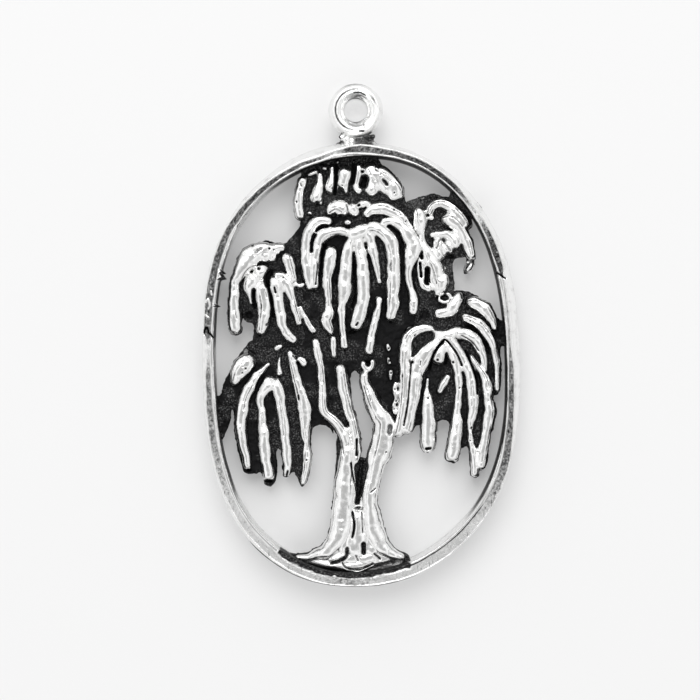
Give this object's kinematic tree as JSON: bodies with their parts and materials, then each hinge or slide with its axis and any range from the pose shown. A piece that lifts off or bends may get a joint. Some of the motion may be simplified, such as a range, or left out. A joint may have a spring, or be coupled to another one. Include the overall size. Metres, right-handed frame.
{
  "type": "cast silver pendant with a weeping willow tree in an oval rim",
  "caption": "Oval openwork silver pendant: a weeping willow with trunk, boughs and hanging fronds inside a banded rim, with a round ring on top to hang it by.",
  "frame": {"origin": "middle of the outline, on the flat back of the rim that the pendant lies on", "axes": "+Y from the roots to the hanging ring, +Z out of the modelled face, +X to the right as the face is looked at"},
  "size_m": [0.0254, 0.0402, 0.003],
  "materials": {
    "polished_silver": "satin",
    "antiqued_silver": "satin"
  },
  "bodies": {
    "root": {"rim": "polished_silver", "hanging_ring": "polished_silver", "ring_neck": "polished_silver", "trunk": "antiqued_silver", "left_bough": "antiqued_silver", "centre_bough": "antiqued_silver", "right_bough": "antiqued_silver", "crown_top": "antiqued_silver", "crown_middle": "antiqued_silver", "crown_left": "antiqued_silver", "crown_right": "antiqued_silver", "crown_stems": "antiqued_silver", "upper_left_mass": "antiqued_silver", "lower_left_mass": "antiqued_silver", "upper_right_mass": "antiqued_silver", "lower_right_outer": "antiqued_silver", "lower_right_inner": "antiqued_silver"}
  },
  "joints": []
}
